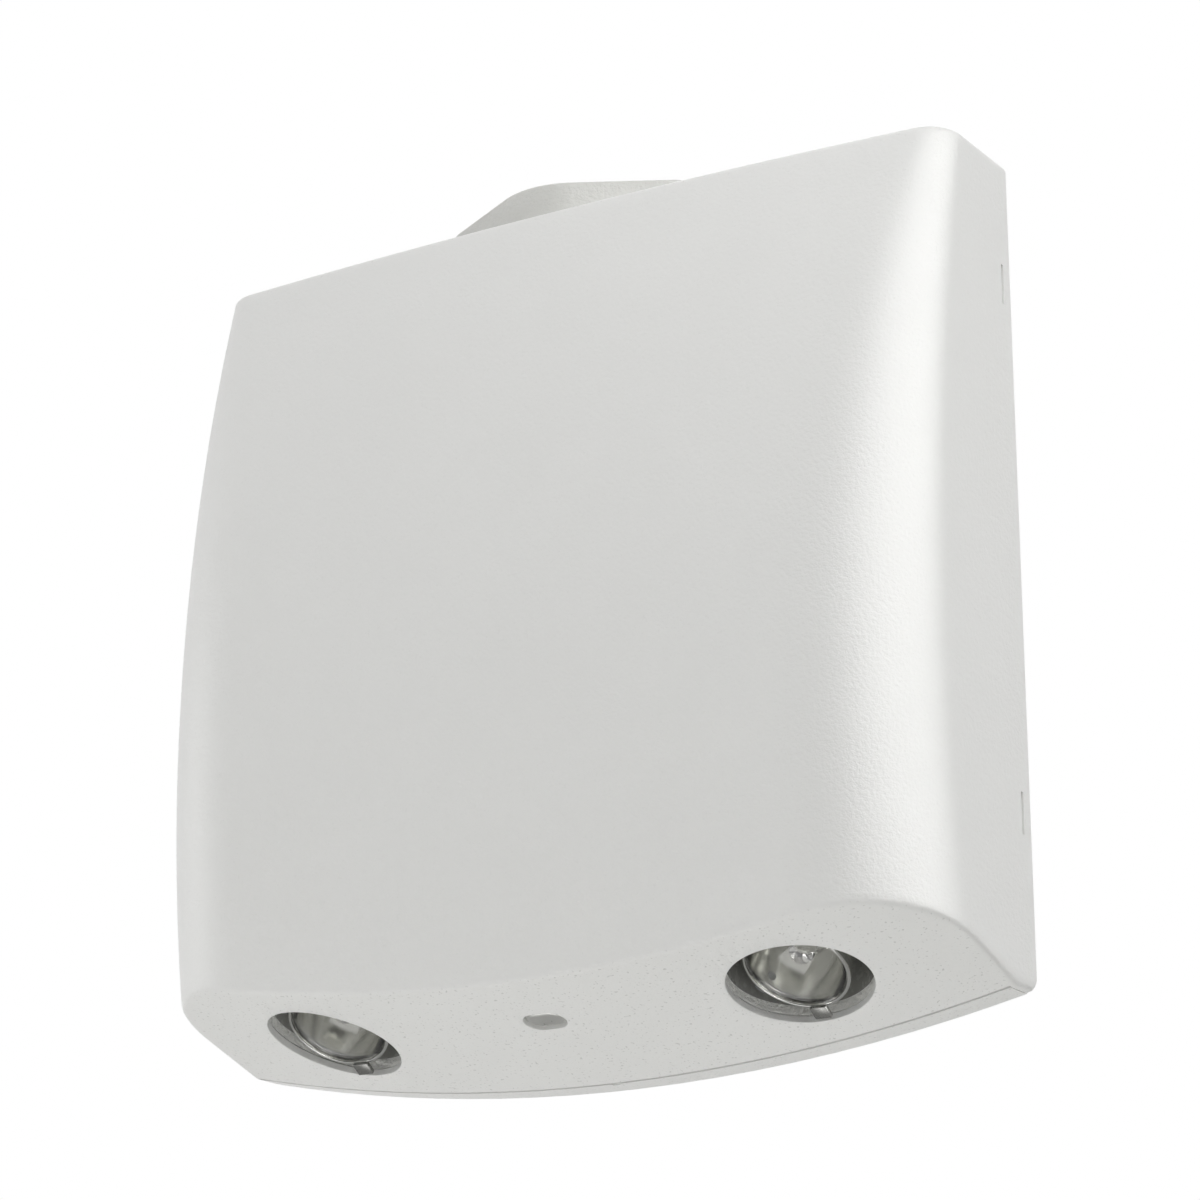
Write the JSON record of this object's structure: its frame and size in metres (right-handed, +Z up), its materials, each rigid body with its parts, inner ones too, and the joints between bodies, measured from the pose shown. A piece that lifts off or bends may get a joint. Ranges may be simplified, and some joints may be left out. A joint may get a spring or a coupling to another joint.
{
  "type": "twin head emergency light",
  "caption": "Wall emergency light: bowed white housing with aimable lamps recessed in its sloping underside, a test button, charger, battery and a raised conduit box.",
  "frame": {"origin": "centre of the outlet box screw pattern, on the wall face of the back plate", "axes": "+Y into the wall, +Z up, +X to the right as seen from the front, so the front looks along -Y"},
  "size_m": [0.3, 0.091, 0.3189],
  "materials": {
    "white_plastic": "fine moulded texture",
    "zinc_steel": "zinc plated",
    "brass": "bright",
    "reflector_chrome": "mirror",
    "clear_glass": "clear",
    "ceramic_white": "unglazed",
    "clear_plastic": "clear moulded",
    "black_plastic": "moulded",
    "red_diode": "tinted",
    "circuit_green": "solder mask",
    "core_grey": "varnished laminations",
    "coil_tape": "tape",
    "capacitor_blue": "sleeved",
    "relay_blue": "moulded",
    "black_aluminium": "anodised",
    "battery_grey": "moulded"
  },
  "bodies": {
    "housing": {"front_cover": "white_plastic", "back_plate": "white_plastic", "conduit_box": "white_plastic", "conduit_box_screws": "zinc_steel", "left_lamp_cup": "white_plastic", "right_lamp_cup": "white_plastic", "cup_screws": "zinc_steel", "left_swivel_pin": "brass", "right_swivel_pin": "brass", "test_switch": "black_plastic", "charge_led": "red_diode", "indicator_board": "circuit_green", "indicator_screws": "zinc_steel", "charger_board": "circuit_green", "charger_screws": "zinc_steel", "transformer_core": "core_grey", "transformer_coil": "coil_tape", "capacitors": "capacitor_blue", "transfer_relay": "relay_blue", "heat_sink": "black_aluminium", "power_transistor": "black_plastic", "supply_terminals": "circuit_green", "battery_case": "battery_grey", "battery_terminals": "brass", "battery_strap": "zinc_steel", "strap_screws": "zinc_steel"},
    "left_yoke": {"left_lamp_yoke": "zinc_steel"},
    "right_yoke": {"right_lamp_yoke": "zinc_steel"},
    "left_head": {"left_lamp_shell": "reflector_chrome", "left_pivot_pins": "brass", "left_lamp_lens": "clear_glass", "left_lens_ring": "reflector_chrome", "left_lamp_capsule": "clear_glass", "left_lamp_socket": "ceramic_white"},
    "right_head": {"right_lamp_shell": "reflector_chrome", "right_pivot_pins": "brass", "right_lamp_lens": "clear_glass", "right_lens_ring": "reflector_chrome", "right_lamp_capsule": "clear_glass", "right_lamp_socket": "ceramic_white"},
    "button": {"test_button": "clear_plastic", "switch_plunger": "black_plastic"}
  },
  "joints": [
    {"name": "left_lamp_swivel", "type": "hinge", "parent": "housing", "child": "left_yoke", "pos_m": [-0.08916, -0.04637, -0.16717], "axis": [-0.1284, -0.2969, -0.9462], "range_deg": [-63, 117]},
    {"name": "left_lamp_tilt", "type": "hinge", "parent": "left_yoke", "child": "left_head", "pos_m": [-0.08916, -0.04637, -0.16717], "axis": [0.8836, 0.3989, -0.2451], "range_deg": [-7, 43]},
    {"name": "right_lamp_swivel", "type": "hinge", "parent": "housing", "child": "right_yoke", "pos_m": [0.08916, -0.04637, -0.16717], "axis": [-0.1284, 0.2969, 0.9462], "range_deg": [-63, 117]},
    {"name": "right_lamp_tilt", "type": "hinge", "parent": "right_yoke", "child": "right_head", "pos_m": [0.08916, -0.04637, -0.16717], "axis": [0.8836, -0.3989, 0.2451], "range_deg": [-7, 43]},
    {"name": "test_button_press", "type": "slide", "parent": "housing", "child": "button", "axis": [0, 0.2994, 0.9541], "range_m": [0, 0.001], "stiffness_N_per_m": 1500, "springref_m": -0.0005}
  ]
}
